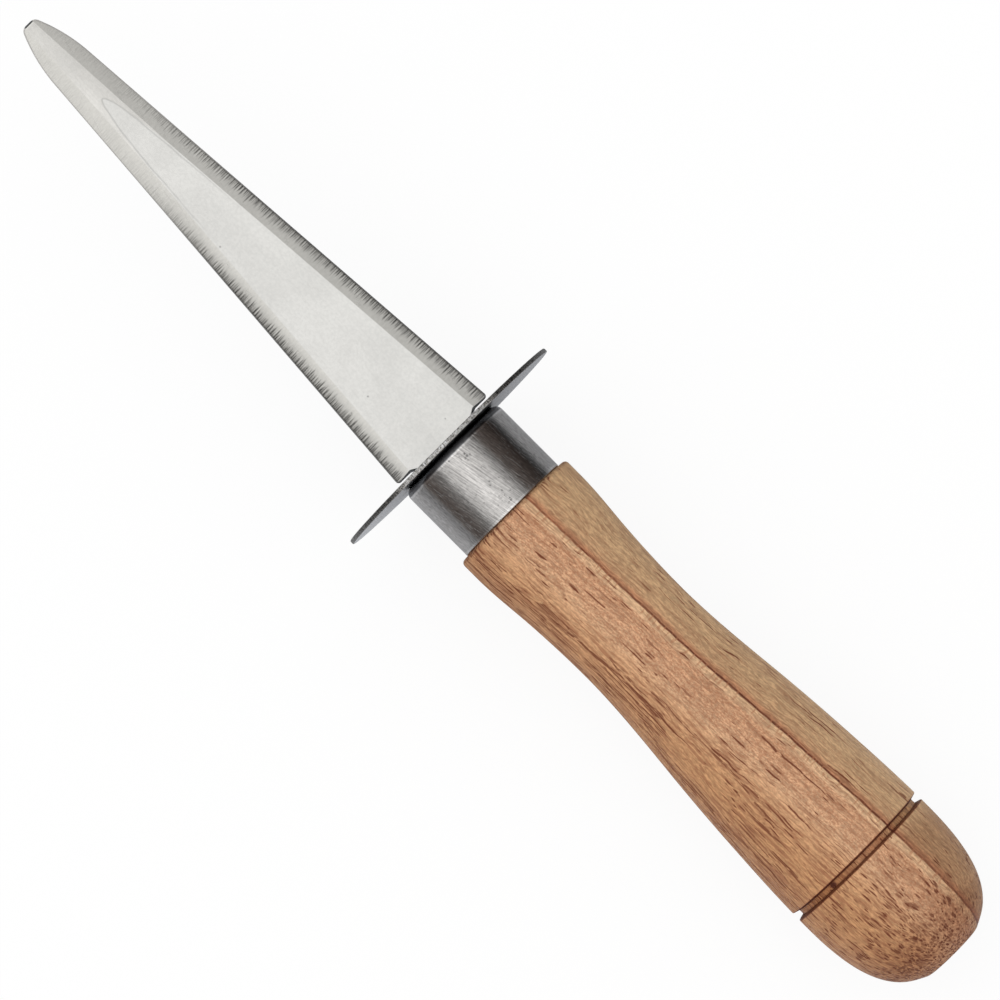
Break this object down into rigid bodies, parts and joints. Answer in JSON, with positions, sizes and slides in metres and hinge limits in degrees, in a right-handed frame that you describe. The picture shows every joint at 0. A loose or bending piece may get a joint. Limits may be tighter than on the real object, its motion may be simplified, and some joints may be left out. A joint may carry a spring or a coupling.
{
  "type": "oyster knife",
  "caption": "Oyster knife with a ground lancet blade, a round guard plate, a drawn steel ferrule and a turned hardwood handle.",
  "frame": {"origin": "centre of the flat end of the butt", "axes": "+X along the handle to the point of the blade, +Y across the blade, +Z square to the flat of the blade"},
  "size_m": [0.1696, 0.0354, 0.0354],
  "materials": {
    "blade_steel": "ground, with fine streaks across the bevels",
    "guard_steel": "bright rolled plate with a sheared rim",
    "ferrule_steel": "drawn and lightly scratched",
    "handle_wood": "turned hardwood with open pores, thinly oiled",
    "cement": "hard filled resin"
  },
  "bodies": {
    "root": {"blade": "blade_steel", "guard": "guard_steel", "ferrule": "ferrule_steel", "handle": "handle_wood", "tang_cement": "cement"}
  },
  "joints": []
}
